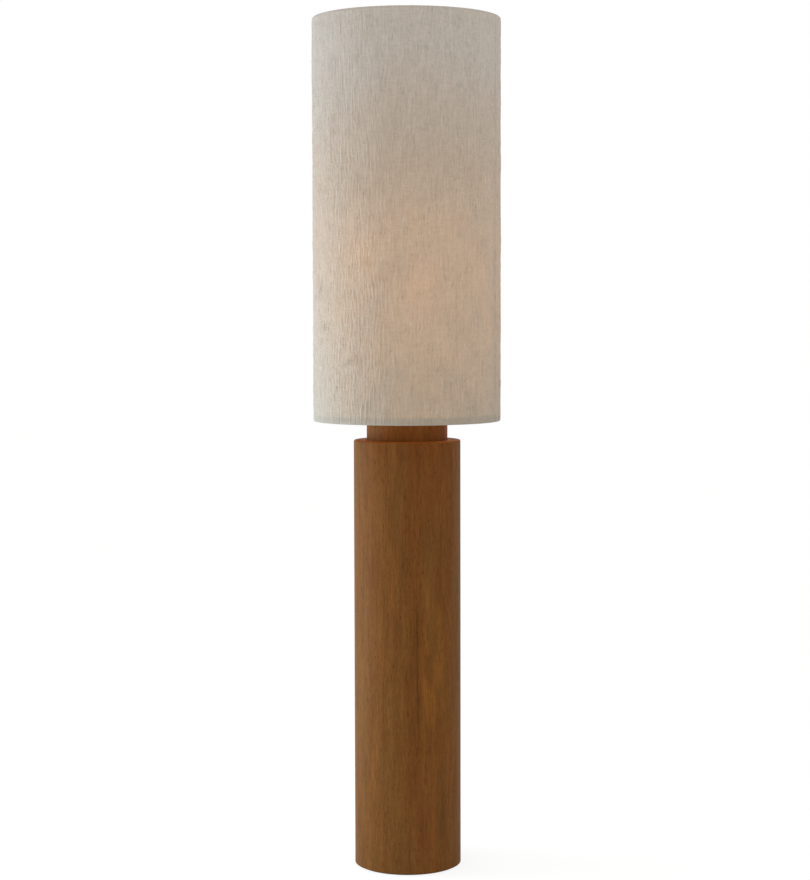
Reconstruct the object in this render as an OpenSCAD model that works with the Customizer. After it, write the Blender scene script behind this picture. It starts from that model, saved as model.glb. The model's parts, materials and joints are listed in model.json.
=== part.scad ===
// Column floor lamp. A veneered tube stands on a weighted base and carries a turned neck. A stem
// rises from the neck to a two-light cluster and on to a spider, from which a tall drum shade hangs.
// Sizes are in millimetres. +Z is up, the front looks towards -Y, and the origin is the middle of
// the felt, on the floor.

/* [Column] */
// Outside diameter of the column
column_d = 202; // [180:1:240]
// Height of the column's top above the floor
column_h = 811; // [700:1:825]
// Wall of the column tube
column_wall = 12; // [8:1:14]
// Rounding of the column's top edge
column_round = 3; // [1:0.5:5]
// Thickness of the boards that close the column's two ends
board_t = 18; // [12:1:22]
// Thickness of the felt under the column
felt_t = 2; // [1:0.5:4]
// How far the felt stays in from the column's side
felt_inset = 5; // [2:1:10]

/* [Ballast] */
// Gap between the iron disc in the base and the tube around it
ballast_gap = 4; // [2:0.5:20]
// Thickness of the iron disc
ballast_t = 30; // [15:1:34]
// Number of screws that hold the disc
ballast_screw_count = 4; // [3:1:6]
// Distance from the disc's edge to the screws
ballast_screw_inset = 25; // [15:1:35]

/* [Cord inlet] */
// Height of the cord inlet above the floor
inlet_z = 66; // [64:1:90]
// Bore of the inlet's bushing
inlet_bore_d = 8; // [6:0.5:9]
// Diameter of the bushing's barrel
inlet_barrel_d = 12; // [11:0.5:16]
// Diameter of the bushing's flange
inlet_flange_d = 18; // [18:0.5:24]

/* [Neck] */
// Diameter of the neck
neck_d = 153; // [120:1:160]
// Height of the neck above the column
neck_h = 76; // [60:1:100]
// Wall of the neck
neck_wall = 14; // [8:1:20]
// Thickness of the neck's top
neck_top_t = 16; // [10:1:22]
// Rounding of the neck's top edge
neck_round = 2; // [1:0.5:4]

/* [Stem] */
// Diameter of the threaded pipe and of the rod above it
pipe_d = 9.8; // [9:0.1:10.5]
// Bore of the threaded pipe
pipe_bore_d = 7; // [6.5:0.1:7.5]
// Diameter of the sleeve between the neck and the cluster
sleeve_d = 19; // [14:0.5:26]
// Length of that sleeve
sleeve_l = 124; // [100:1:150]
// Diameter of the plate on the neck
plate_d = 64; // [40:1:90]
// Thickness of the plate at its rim
plate_t = 2.5; // [1.5:0.5:5]

/* [Cluster] */
// Diameter of the cluster's body
cluster_d = 60; // [52:1:64]
// Height of the cluster's body
cluster_h = 28; // [25:1:34]
// Turn of the cluster about the stem, from the +X axis
cluster_turn = -35; // [-180:5:180]
// Distance from the stem's axis to each lampholder's axis
socket_reach = 55; // [52:1:62]
// Bend radius of the arms that carry the lampholders
arm_bend = 12; // [10:1:14]

/* [Lampholder] */
// Outside diameter of the lampholder's shell
shell_d = 36; // [34.5:0.5:38]
// Height of the lampholder's open end above its foot
shell_top = 58; // [56:1:62]
// Height of the lampholder's cap
cap_h = 20; // [16:0.5:20]

/* [Bulb] */
// Diameter of the bulb's glass
bulb_d = 60; // [50:1:70]
// Whole length of the bulb
bulb_l = 108; // [95:1:125]
// Wall of the glass
glass_t = 0.9; // [0.6:0.1:1.2]

/* [Pull chain] */
// Distance from the lampholder's axis to the chain
chain_reach = 28; // [25:1:32]
// Diameter of a bead
bead_d = 3.2; // [2.4:0.1:3.6]
// Distance from one bead to the next
bead_pitch = 4.2; // [4:0.1:6]
// Number of beads on a chain
bead_count = 39; // [20:1:40]

/* [Shade] */
// Outside diameter of the shade
shade_d = 353; // [320:1:400]
// Height of the shade
shade_h = 753; // [700:1:770]
// Height of the shade's top above the floor
total_h = 1600; // [1590:1:1700]
// Thickness of the fabric
fabric_t = 1; // [0.6:0.1:1.6]
// Thickness of the stiff liner
liner_t = 0.7; // [0.4:0.1:1.2]
// Diameter of the frame's wire
wire_d = 4.6; // [3.5:0.1:5.5]
// Depth of the spider's hub below the shade's top
spider_drop = 46; // [38:1:60]
// Number of the spider's arms
spider_arm_count = 3; // [3:1:4]
// Diameter of the spider's arms
spider_wire_d = 3.6; // [3:0.1:4.5]
// Bend radius of the spider's arms
spider_bend = 15; // [8:1:20]

/* [Finial] */
// Diameter of the finial's ball
finial_d = 22; // [16:1:28]
// Height of the finial
finial_h = 28; // [24:1:34]

/* [Hidden] */

$fn = 64;
// A cutting shape runs this far past the face that it leaves
cut = 1;
// Radial gap of parts that are glued, screwed or slipped together
fit = 0.1;
// Gap between a part that turns or slides and the part it runs on
run_gap = 0.3;
// Gap left where a weld joins two wires
weld = 0.05;

// Column and base
column_r = column_d / 2;
bore_r = column_r - column_wall;
base_z = felt_t;
ballast_z = base_z + board_t;
ballast_top = ballast_z + ballast_t;
ballast_r = bore_r - ballast_gap;
ballast_screw_ring = ballast_r - ballast_screw_inset;
top_board_z = column_h - board_t;
screw_d = 5;
screw_head_d = 9.5;
screw_head_h = 2.8;
screw_bite = 14;

// Cord inlet
inlet_flange_t = 2;
inlet_tail = 3;

// Terminal block, with the lead that rises from it to the stem
block_size = [18, 36, 15];
block_inset = 47;
block_x = ballast_r - block_inset;
block_hole_d = 5.6;
block_screw_y = 13;
block_screw_d = 3;
block_screw_head_d = 6;
block_screw_head_h = 2;
block_screw_bite = 8;
lead_d = 5;
lead_sides = 10;
lead_steps = 4;
lead_entry_z = 8;
lead_wall_x = bore_r - 5.5;
lead_start = block_x + block_size[0] / 2 + fit;
lead_foot = 80;
lead_head = 130;
clip_size = [14, 12];
clip_count = 3;

// Neck
neck_r = neck_d / 2;
neck_top = column_h + neck_h;

// Stem
pipe_r = pipe_d / 2;
pipe_hole_r = pipe_r + fit + 0.2;
washer_d = 38;
washer_t = 2;
nut_flats = 17;
nut_t = 5;
nut_tail = 6;
pipe_z = top_board_z - washer_t - nut_t - nut_tail;
plate_boss_d = sleeve_d + 7;
plate_boss_t = 1.5;
sleeve_z = neck_top + plate_t + plate_boss_t;
cluster_z = sleeve_z + sleeve_l;
cluster_top = cluster_z + cluster_h;
sheet_t = 1.6;
pipe_top = cluster_z + sheet_t + nut_t + 2;

// Cluster
cluster_r = cluster_d / 2;
cover_t = 2;
cover_skirt = 4;
cover_hub_d = 18;
cover_hub_h = 10;
cover_screw_d = 2.6;
cover_screw_head_d = 5;
cover_screw_head_h = 1.6;
cover_screw_bite = 6;
lug_r = 4;
lug_h = 8;
lug_x = cluster_r - sheet_t - lug_r + 0.6;
arm_d = 10;
arm_bore_d = 7;
arm_z = cluster_z + cluster_h / 2;
arm_start = cluster_r - sheet_t - 2;
arm_rise = 12;
socket_lead_r = 1.6;
socket_lead_bend = 4;
wire_nut_d = 10;
wire_nut_tip_d = 7.6;
wire_nut_l = 10;
wire_nut_bore_r = 3.6;
wire_nut_bore_h = 6;
wire_nut_x = nut_flats / 2 + 6.1;
wire_end_z = sheet_t + wire_nut_l - wire_nut_bore_h + fit;
splice_r = 1.2;
splice_in_x = 1.5;
splice_out_x = wire_nut_x - 1.9;
splice_z = 14;
lead_top = pipe_top + 2;

// Lampholder, in heights above its foot
socket_z = arm_z + arm_bend + arm_rise - 2;
hub_d = 15;
hub_h = 8;
cap_t = 0.9;
cap_foot_d = 28;
shell_r = shell_d / 2;
shell_t = 0.7;
shell_z = cap_h - 8;
cap_r = shell_r + fit + cap_t;
rim_bead = 0.6;
liner_gap = 0.1;
socket_liner_t = 0.9;
core_r = shell_r - shell_t - 2 * liner_gap - socket_liner_t;
core_z = 8;
core_top = 32;
core_collar_h = 8;
screw_shell_r = 13.6;
screw_shell_t = 0.5;
contact_w = 5;
bulb_seat = core_top + 1.5;

// Bulb, in heights above the tip of its cap
thread_r = 13.1;
thread_root_r = 12.4;
thread_pitch = 3.63;
thread_turns = 4;
cap_shoulder = 7;
cap_wall_r = 11.9;
cap_l = 24;
glass_neck_r = 11.7;
glass_foot = 12;
glass_steps = 14;
bulb_r = bulb_d / 2;

// Pull chain
guide_z = 24;
guide_r = 3.6;
guide_bore_r = 2.3;
guide_ball_r = 4.2;
guide_drop = 16;
guide_bell_r = 5.2;
guide_bell_h = 3;
chain_link_r = 0.5;
knob_r = 4.5;
knob_l = 15;
knob_bore_h = 6;

// Shade
shade_r = shade_d / 2;
shade_z = total_h - shade_h;
liner_out_r = shade_r - fabric_t - fit;
liner_in_r = liner_out_r - liner_t;
liner_inset = 1.1;
ring_wire_r = wire_d / 2;
hem_wrap = 1;
hem_r = ring_wire_r + fit + hem_wrap;
ring_r = liner_in_r - fit - ring_wire_r;
hub_z = total_h - spider_drop;
spider_hub_d = 32;
spider_hub_t = 2.4;
// The arms climb to the ring at three up to four along
spider_slope = asin(0.6);

// Rod above the cluster, with the stud that the spider and the finial sit on
stud_d = 6.2;
stud_l = 17;
collar_d = 20;
collar_h = 6;
seat_z = hub_z - spider_hub_t - run_gap;
rod_z = cluster_top + cover_t + fit;

// ---------------------------------------------------------------- shapes used more than once

// Points along a quarter round, from the side of a turned piece up to its top, inside its corner
function quarter(corner, r, steps) =
    [for (i = [0 : steps]) let (a = 90 * i / steps) corner + r * [cos(a) - 1, sin(a) - 1]];

// A pipe from the floor of its own frame
module tube(r_out, r_in, h) {
    difference() {
        cylinder(r = r_out, h = h);
        translate([0, 0, -cut]) cylinder(r = r_in, h = h + 2 * cut);
    }
}

// A round rod that runs along +X, bends up through an angle and runs on
module bent_rod(r, run, bend, angle, rise) {
    rotate([0, 90, 0]) cylinder(r = r, h = run);
    translate([run, 0, bend]) rotate([90, 0, 0]) rotate([0, 0, -90])
        rotate_extrude(angle = angle) translate([bend, 0]) circle(r = r);
    translate([run + bend * sin(angle), 0, bend * (1 - cos(angle))])
        rotate([0, 90 - angle, 0]) cylinder(r = r, h = rise);
}

// A hexagon nut with a plain bore
module nut(flats, bore_r, h) {
    difference() {
        cylinder(d = flats / cos(30), h = h, $fn = 6);
        translate([0, 0, -cut]) cylinder(r = bore_r, h = h + 2 * cut);
    }
}

// A countersunk screw that points up, with its flat head at the floor of its own frame
module flat_screw(d, head_d, head_h, length) {
    cylinder(d1 = head_d, d2 = d, h = head_h);
    cylinder(d = d, h = length);
}

// A round-headed screw that points down, with its head standing on the floor of its own frame
module round_screw(d, head_d, head_h, length) {
    cylinder(d = head_d, h = head_h);
    translate([0, 0, -length]) cylinder(d = d, h = length + head_h / 2);
}

// Copies of a shape, turned in equal steps about the stem
module around(count, first = 0) {
    for (i = [0 : count - 1]) rotate([0, 0, first + i * 360 / count]) children();
}

// The frame of one lampholder: its axis is upright, its foot is at Z 0 and +X points outwards
module at_socket(n) {
    rotate([0, 0, cluster_turn + 180 * (n - 1)]) translate([socket_reach, 0, socket_z]) children();
}

// The frame of one lampholder's arm: on the stem's axis, with +X along the arm
module at_arm(n) {
    rotate([0, 0, cluster_turn + 180 * (n - 1)]) translate([0, 0, arm_z]) children();
}

// The two lugs that the cluster's cover is screwed to, between the arms
module at_lugs() {
    for (side = [-1, 1]) rotate([0, 0, cluster_turn + side * 90]) translate([lug_x, 0, 0]) children();
}

// ---------------------------------------------------------------- column and base

module column_tube() {
    top_edge = quarter([column_r, column_h], column_round, 8);
    color("#744b2a") difference() {
        rotate_extrude()
            polygon(concat([[bore_r, base_z], [column_r, base_z]], top_edge, [[bore_r, column_h]]));
        translate([0, bore_r - cut, inlet_z]) rotate([-90, 0, 0])
            cylinder(d = inlet_barrel_d + 2 * fit, h = column_wall + 2 * cut);
    }
}

module column_top() {
    color("peru") translate([0, 0, top_board_z]) tube(bore_r - fit, pipe_hole_r, board_t);
}

module column_base() {
    color("burlywood") difference() {
        translate([0, 0, base_z]) cylinder(r = bore_r - fit, h = board_t);
        around(ballast_screw_count, 45) translate([ballast_screw_ring, 0, base_z]) {
            cylinder(d = screw_d + 2 * fit, h = board_t + cut);
            translate([0, 0, -fit])
                cylinder(d1 = screw_head_d + 6 * fit, d2 = screw_d + 2 * fit, h = screw_head_h + 2 * fit);
        }
    }
}

module ballast() {
    block_foot = [block_x, block_screw_y, ballast_top - block_screw_bite];
    color("dimgray") difference() {
        translate([0, 0, ballast_z]) cylinder(r = ballast_r, h = ballast_t);
        around(ballast_screw_count, 45) translate([ballast_screw_ring, 0, ballast_z - cut])
            cylinder(d = screw_d + 2 * fit, h = screw_bite + 2 * cut);
        for (side = [-1, 1]) translate([block_foot[0], side * block_foot[1], block_foot[2] - fit])
            cylinder(d = block_screw_d + 2 * fit, h = block_screw_bite + cut);
    }
}

module ballast_screws() {
    color("silver") around(ballast_screw_count, 45) translate([ballast_screw_ring, 0, base_z + fit])
        flat_screw(screw_d, screw_head_d, screw_head_h, board_t + screw_bite);
}

module base_felt() {
    color("#2b2622") cylinder(r = column_r - felt_inset, h = felt_t);
}

module cord_bushing() {
    length = column_wall + inlet_flange_t + inlet_tail;
    color("#1f1d1c") translate([0, 0, inlet_z]) difference() {
        translate([0, bore_r - inlet_tail, 0]) rotate([-90, 0, 0]) {
            cylinder(d = inlet_barrel_d, h = length);
            translate([0, 0, length - inlet_flange_t - 1]) intersection() {
                cylinder(d = inlet_flange_d, h = inlet_flange_t + 1);
                cylinder(d1 = inlet_flange_d + 4, d2 = inlet_flange_d - 1, h = inlet_flange_t + 1);
            }
        }
        translate([0, 0, -inlet_flange_d]) difference() {
            cylinder(r = column_r + fit, h = 2 * inlet_flange_d);
            translate([0, 0, inlet_flange_d]) rotate([-90, 0, 0])
                cylinder(d = inlet_barrel_d, h = column_r + cut);
        }
        translate([0, bore_r - inlet_tail - cut, 0]) rotate([-90, 0, 0])
            cylinder(d = inlet_bore_d, h = length + 2 * cut);
    }
}

module terminal_block() {
    color("whitesmoke") translate([block_x, 0, ballast_top]) difference() {
        translate([0, 0, block_size[2] / 2]) cube(block_size, center = true);
        translate([-block_size[0], 0, lead_entry_z]) rotate([0, 90, 0])
            cylinder(d = block_hole_d, h = 2 * block_size[0]);
        for (side = [-1, 1]) translate([0, side * block_screw_y, -cut])
            cylinder(d = block_screw_d + 2 * fit, h = block_size[2] + 2 * cut);
    }
}

module terminal_screws() {
    length = block_size[2] + block_screw_bite - fit;
    color("silver") for (side = [-1, 1])
        translate([block_x, side * block_screw_y, ballast_top + block_size[2]])
            round_screw(block_screw_d, block_screw_head_d, block_screw_head_h, length);
}

// The straight part of the lead along the tube's wall, and the height of each clip on it
lead_low = ballast_top + lead_foot;
lead_high = pipe_z - lead_head;
wall_steps = 6;
wall_run = lead_high - lead_low;
wall_points = [for (i = [0 : wall_steps]) [lead_wall_x, lead_low + wall_run * i / wall_steps]];
clip_levels = [for (i = [1 : clip_count]) lead_low + wall_run * (i - 0.5) / clip_count];

// The lead's route, as distance from the stem's axis and height: out of the block, up the tube's
// wall through the clips, and over into the stem's lower end
lead_route = concat(
    [
        [lead_start, ballast_top + lead_entry_z], [lead_wall_x - 24, ballast_top + 10],
        [lead_wall_x - 12, ballast_top + 20], [lead_wall_x - 4, ballast_top + 40]
    ],
    wall_points,
    [
        [lead_wall_x - 6, pipe_z - 95], [lead_wall_x - 24, pipe_z - 65], [34, pipe_z - 42],
        [12, pipe_z - 26], [0, pipe_z + 4], [0, pipe_z + 30], [0, pipe_z + 80],
        [0, pipe_top - 60], [0, lead_top]
    ]
);

// A point on the smooth curve through four route points
function smooth(a, b, c, d, t) =
    0.5 * (2 * b + (c - a) * t + (2 * a - 5 * b + 4 * c - d) * t * t + (3 * b - a - 3 * c + d) * t * t * t);

// The whole route with points between, each with its neighbours' direction
function smooth_route(p, steps) = let (last = len(p) - 1) concat(
    [for (i = [0 : last - 1], k = [0 : steps - 1])
        smooth(p[max(i - 1, 0)], p[i], p[i + 1], p[min(i + 2, last)], k / steps)],
    [p[last]]);

// A round tube swept along points of one upright plane
module planar_sweep(points, r, sides) {
    last = len(points) - 1;
    rings = [for (i = [0 : last])
        let (d = points[min(i + 1, last)] - points[max(i - 1, 0)], u = d / norm(d))
            for (k = [0 : sides - 1]) let (a = 360 * k / sides)
                [points[i][0] - u[1] * r * cos(a), r * sin(a), points[i][1] + u[0] * r * cos(a)]];
    sides_faces = [for (i = [0 : last - 1], k = [0 : sides - 1])
        let (a = i * sides + k, b = i * sides + (k + 1) % sides)
            each [[a, b, b + sides], [a, b + sides, a + sides]]];
    ends = [[for (k = [sides - 1 : -1 : 0]) k], [for (k = [0 : sides - 1]) last * sides + k]];
    polyhedron(points = rings, faces = concat(sides_faces, ends));
}

module riser_lead() {
    color("#e8e4da") planar_sweep(smooth_route(lead_route, lead_steps), lead_d / 2, lead_sides);
}

module lead_clips() {
    reach = bore_r - fit;
    color("white") for (z = clip_levels) difference() {
        intersection() {
            translate([lead_wall_x - lead_d, -clip_size[0] / 2, z - clip_size[1] / 2])
                cube([lead_d * 3, clip_size[0], clip_size[1]]);
            cylinder(r = reach, h = column_h);
        }
        translate([lead_wall_x, 0, z - clip_size[1]]) cylinder(d = lead_d + 4 * fit, h = 2 * clip_size[1]);
    }
}

// ---------------------------------------------------------------- neck and stem

module neck() {
    inner_r = neck_r - neck_wall;
    under = neck_top - neck_top_t;
    top_edge = quarter([neck_r, neck_top], neck_round, 6);
    color("#7a4524") rotate_extrude() polygon(concat(
        [[inner_r, column_h], [neck_r, column_h]], top_edge,
        [[pipe_hole_r, neck_top], [pipe_hole_r, under], [inner_r, under]]));
}

module stem_pipe() {
    color("goldenrod") translate([0, 0, pipe_z]) tube(pipe_r, pipe_bore_d / 2, pipe_top - pipe_z);
}

module stem_washer() {
    color("silver") translate([0, 0, top_board_z - washer_t]) tube(washer_d / 2, pipe_r + fit, washer_t);
}

module stem_nut() {
    color("silver") translate([0, 0, top_board_z - washer_t - nut_t]) nut(nut_flats, pipe_r + fit, nut_t);
}

module neck_plate() {
    color("darkgoldenrod") translate([0, 0, neck_top]) rotate_extrude() polygon([
        [pipe_r + fit, 0], [plate_d / 2, 0], [plate_d / 2, plate_t / 2], [plate_d / 2 - plate_t, plate_t],
        [plate_boss_d / 2, plate_t], [plate_boss_d / 2 - 1, plate_t + plate_boss_t],
        [pipe_r + fit, plate_t + plate_boss_t]
    ]);
}

module stem_sleeve() {
    color("goldenrod") translate([0, 0, sleeve_z]) tube(sleeve_d / 2, pipe_r + fit, sleeve_l);
}

// ---------------------------------------------------------------- cluster

module cluster_body() {
    lug_top = cluster_top - cover_skirt - fit;
    color("goldenrod") difference() {
        union() {
            translate([0, 0, cluster_z]) difference() {
                cylinder(r = cluster_r, h = cluster_h);
                translate([0, 0, sheet_t]) cylinder(r = cluster_r - sheet_t, h = cluster_h);
                translate([0, 0, -cut]) cylinder(r = pipe_r + fit, h = 2 * cut + sheet_t);
            }
            at_lugs() translate([0, 0, lug_top - lug_h]) cylinder(r = lug_r, h = lug_h);
        }
        for (n = [1, 2]) at_arm(n) translate([arm_start, 0, 0]) rotate([0, 90, 0])
            cylinder(d = arm_d + 2 * fit, h = sheet_t + 4);
        at_lugs() translate([0, 0, lug_top - cover_screw_bite - fit])
            cylinder(d = cover_screw_d + 2 * fit, h = cover_screw_bite + cut);
    }
}

module cluster_cover() {
    skirt_r = cluster_r - sheet_t - fit;
    color("goldenrod") difference() {
        translate([0, 0, cluster_top]) union() {
            cylinder(r = cluster_r, h = cover_t);
            translate([0, 0, -cover_skirt]) tube(skirt_r, skirt_r - sheet_t, cover_skirt + cover_t / 2);
            translate([0, 0, cover_t / 2]) cylinder(d = cover_hub_d, h = cover_hub_h + cover_t / 2);
        }
        translate([0, 0, rod_z]) cylinder(r = pipe_r + fit / 2, h = cover_hub_h + cover_t);
        at_lugs() translate([0, 0, cluster_top - cut])
            cylinder(d = cover_screw_d + 2 * fit, h = cover_t + 2 * cut);
    }
}

module cover_screws() {
    length = cover_t + cover_skirt + cover_screw_bite;
    color("goldenrod") at_lugs() translate([0, 0, cluster_top + cover_t])
        round_screw(cover_screw_d, cover_screw_head_d, cover_screw_head_h, length);
}

module cluster_nut() {
    color("silver") translate([0, 0, cluster_z + sheet_t]) nut(nut_flats, pipe_r + fit, nut_t);
}

module wire_nuts() {
    color("orange") for (n = [1, 2]) at_arm(n) translate([wire_nut_x, 0, cluster_z + sheet_t - arm_z])
        difference() {
            cylinder(d1 = wire_nut_tip_d, d2 = wire_nut_d, h = wire_nut_l);
            translate([0, 0, wire_nut_l - wire_nut_bore_h]) cylinder(r = wire_nut_bore_r, h = wire_nut_l);
        }
}

// Two wires, each from the end of the riser lead, over and down into one wire nut
module splice_wires() {
    bend = (splice_out_x - splice_in_x) / 2;
    foot = lead_top - cluster_z + fit;
    color("white") for (n = [1, 2]) at_arm(n) translate([0, 0, cluster_z - arm_z]) {
        translate([splice_in_x, 0, foot]) cylinder(r = splice_r, h = splice_z - foot);
        translate([splice_out_x, 0, wire_end_z]) cylinder(r = splice_r, h = splice_z - wire_end_z);
        translate([splice_in_x + bend, 0, splice_z]) rotate([90, 0, 0])
            rotate_extrude(angle = 180) translate([bend, 0]) circle(r = splice_r);
    }
}

module socket_arm(n) {
    run = socket_reach - arm_bend - arm_start;
    color("goldenrod") at_arm(n) translate([arm_start, 0, 0]) difference() {
        bent_rod(arm_d / 2, run, arm_bend, 90, arm_rise);
        translate([-cut, 0, 0]) bent_rod(arm_bore_d / 2, run + cut, arm_bend, 90, arm_rise + cut);
    }
}

// The lead from a wire nut, up and out through the arm and up into the lampholder
module socket_lead(n) {
    foot_x = wire_nut_x + wire_nut_bore_r - socket_lead_r - 0.5;
    foot_z = wire_end_z - (arm_z - cluster_z);
    run = socket_reach - arm_bend - foot_x - socket_lead_bend;
    rise = socket_z + core_z - (arm_z + arm_bend) - fit;
    color("white") at_arm(n) {
        translate([foot_x, 0, foot_z]) cylinder(r = socket_lead_r, h = -socket_lead_bend - foot_z);
        translate([foot_x + socket_lead_bend, 0, -socket_lead_bend]) rotate([90, 0, 0]) rotate([0, 0, 90])
            rotate_extrude(angle = 90) translate([socket_lead_bend, 0]) circle(r = socket_lead_r);
        translate([foot_x + socket_lead_bend, 0, 0]) bent_rod(socket_lead_r, run, arm_bend, 90, rise);
    }
}

// ---------------------------------------------------------------- lampholders

module socket_cap(n) {
    hole_r = arm_d / 2 + fit;
    inner_r = cap_r - cap_t;
    flare = 7;
    foot = 0.6;
    color("goldenrod") at_socket(n) rotate_extrude() polygon([
        [hole_r, -hub_h], [hub_d / 2, -hub_h], [hub_d / 2, 0],
        [cap_foot_d / 2, foot], [cap_r, flare], [cap_r, cap_h],
        [inner_r, cap_h], [inner_r, flare + cap_t / 3], [cap_foot_d / 2 - cap_t / 2, foot + cap_t],
        [hole_r, cap_t]
    ]);
}

module socket_shell(n) {
    inner_r = shell_r - shell_t;
    color("goldenrod") at_socket(n) difference() {
        rotate_extrude() polygon([
            [inner_r, shell_z], [shell_r, shell_z], [shell_r, shell_top - 4],
            [shell_r + rim_bead, shell_top - 3], [shell_r + rim_bead, shell_top - 1],
            [shell_r, shell_top], [inner_r, shell_top]
        ]);
        translate([inner_r - cut, 0, guide_z]) rotate([0, 90, 0])
            cylinder(r = guide_r + fit, h = shell_t + rim_bead + 2 * cut);
    }
}

module socket_liner(n) {
    outer_r = shell_r - shell_t - liner_gap;
    color("#cdbb96") at_socket(n) difference() {
        translate([0, 0, shell_z + 2]) tube(outer_r, outer_r - socket_liner_t, shell_top - shell_z - 3);
        translate([outer_r - socket_liner_t - cut, 0, guide_z]) rotate([0, 90, 0])
            cylinder(r = guide_r + fit, h = socket_liner_t + 2 * cut);
    }
}

module socket_core(n) {
    seat_r = screw_shell_r + screw_shell_t + fit;
    color("#3a2f28") at_socket(n) difference() {
        translate([0, 0, core_z]) cylinder(r = core_r, h = core_top + core_collar_h - core_z);
        translate([0, 0, core_top]) cylinder(r = seat_r, h = core_collar_h + cut);
        translate([core_r - 6, 0, guide_z]) rotate([0, 90, 0]) cylinder(r = guide_bore_r, h = 6 + cut);
    }
}

module screw_shell(n) {
    inner_r = screw_shell_r;
    outer_r = screw_shell_r + screw_shell_t;
    rim = shell_top - 2 - core_top;
    hole_r = contact_w + 3;
    color("silver") at_socket(n) translate([0, 0, core_top]) rotate_extrude() polygon([
        [hole_r, 0], [outer_r, 0], [outer_r, rim],
        [inner_r, rim], [inner_r, screw_shell_t], [hole_r, screw_shell_t]
    ]);
}

module socket_contacts() {
    color("gold") for (n = [1, 2]) at_socket(n) translate([0, contact_w / 2, core_top]) rotate([90, 0, 0])
        linear_extrude(height = contact_w)
            polygon([[-6, 0], [-2, 0], [1, 0.9], [4, 0.9], [4, 1.4], [0.8, 1.4], [-2.1, 0.5], [-6, 0.5]]);
}

module chain_guide(n) {
    run = chain_reach - core_r - fit;
    past = guide_bore_r * 0.65;
    color("goldenrod") at_socket(n) translate([chain_reach, 0, guide_z]) difference() {
        union() {
            translate([-run, 0, 0]) rotate([0, 90, 0]) cylinder(r = guide_r, h = run);
            sphere(r = guide_ball_r);
            translate([0, 0, -guide_drop]) cylinder(r = guide_r, h = guide_drop);
            translate([0, 0, -guide_drop]) cylinder(r1 = guide_bell_r, r2 = guide_r, h = guide_bell_h);
        }
        translate([-run - cut, 0, 0]) rotate([0, 90, 0]) cylinder(r = guide_bore_r, h = run + cut + past);
        translate([0, 0, -guide_drop - cut]) cylinder(r = guide_bore_r, h = guide_drop + cut + past);
    }
}

// ---------------------------------------------------------------- pull chains

// The frame of one chain: its upper bead is at Z 0
module at_chain(n) {
    at_socket(n) translate([chain_reach, 0, guide_z - bead_d / 2]) children();
}

module pull_chain(n) {
    length = (bead_count - 1) * bead_pitch;
    color("gold") at_chain(n) {
        for (i = [0 : bead_count - 1]) translate([0, 0, -i * bead_pitch]) sphere(d = bead_d);
        translate([0, 0, -length]) cylinder(r = chain_link_r, h = length);
    }
}

module pull_knob(n) {
    length = (bead_count - 1) * bead_pitch;
    bore = bead_d / 2 + fit;
    foot = knob_bore_h - knob_l;
    color("darkgoldenrod") at_chain(n) translate([0, 0, -length - bead_d / 2 - fit])
        rotate_extrude() polygon([
            [0, 0], [bore, 0], [bore, knob_bore_h], [bore + 0.8, knob_bore_h],
            [bore + 1.2, knob_bore_h - 2], [knob_r * 0.75, 0], [knob_r, foot * 0.6],
            [knob_r * 0.8, foot], [0, foot]
        ]);
}

// ---------------------------------------------------------------- bulbs

// The frame of one bulb: the tip of its cap is at Z 0
module at_bulb(n) {
    at_socket(n) translate([0, 0, bulb_seat]) children();
}

// The outline of the glass, from its foot to its top, drawn in by a wall
function glass_outline(wall) =
    let (neck = glass_neck_r - wall, belly = bulb_r - wall, middle = bulb_l - bulb_r)
    concat(
        [[neck, glass_foot]],
        [for (i = [0 : glass_steps]) let (u = i / glass_steps)
            [neck + (belly - neck) * (1 - cos(180 * u)) / 2, cap_l + (middle - cap_l) * u]],
        [for (a = [9 : 9 : 90]) [belly * cos(a), middle + belly * sin(a)]]);

module bulb_glass(n) {
    inner = glass_outline(glass_t);
    color("ivory") at_bulb(n) rotate_extrude()
        polygon(concat(glass_outline(0), [for (i = [len(inner) - 1 : -1 : 0]) inner[i]]));
}

module bulb_cap(n) {
    ridges = [for (i = [0 : thread_turns - 1], side = [0, 1])
        [side == 0 ? thread_root_r : thread_r, cap_shoulder + (i + side / 2) * thread_pitch]];
    color("silver") at_bulb(n) rotate_extrude() polygon(concat(
        [[0, 0], [4.5, 0], [5, 1.8], [9, 3]], ridges,
        [[thread_root_r, cap_shoulder + thread_turns * thread_pitch], [thread_root_r, cap_l - 0.2],
         [cap_wall_r, cap_l - 0.2], [cap_wall_r, cap_shoulder + 1], [0, cap_shoulder + 1]]));
}

// ---------------------------------------------------------------- rod, shade and finial

module upper_rod() {
    color("goldenrod") {
        translate([0, 0, rod_z]) cylinder(r = pipe_r, h = seat_z - rod_z);
        translate([0, 0, seat_z]) cylinder(d = stud_d, h = stud_l);
    }
}

module seat_collar() {
    color("darkgoldenrod") translate([0, 0, seat_z - collar_h])
        tube(collar_d / 2, pipe_r + fit / 2, collar_h);
}

module shade_fabric() {
    color("#cdc1b0") translate([0, 0, shade_z]) tube(shade_r, shade_r - fabric_t, shade_h);
}

module shade_liner() {
    color("white") translate([0, 0, shade_z + liner_inset])
        tube(liner_out_r, liner_in_r, shade_h - 2 * liner_inset);
}

// One of the shade's wire rings, in the frame of its end of the shade
module wire_ring() {
    color("silver") translate([0, 0, -hem_r])
        rotate_extrude() translate([ring_r, 0]) circle(r = ring_wire_r);
}

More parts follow.
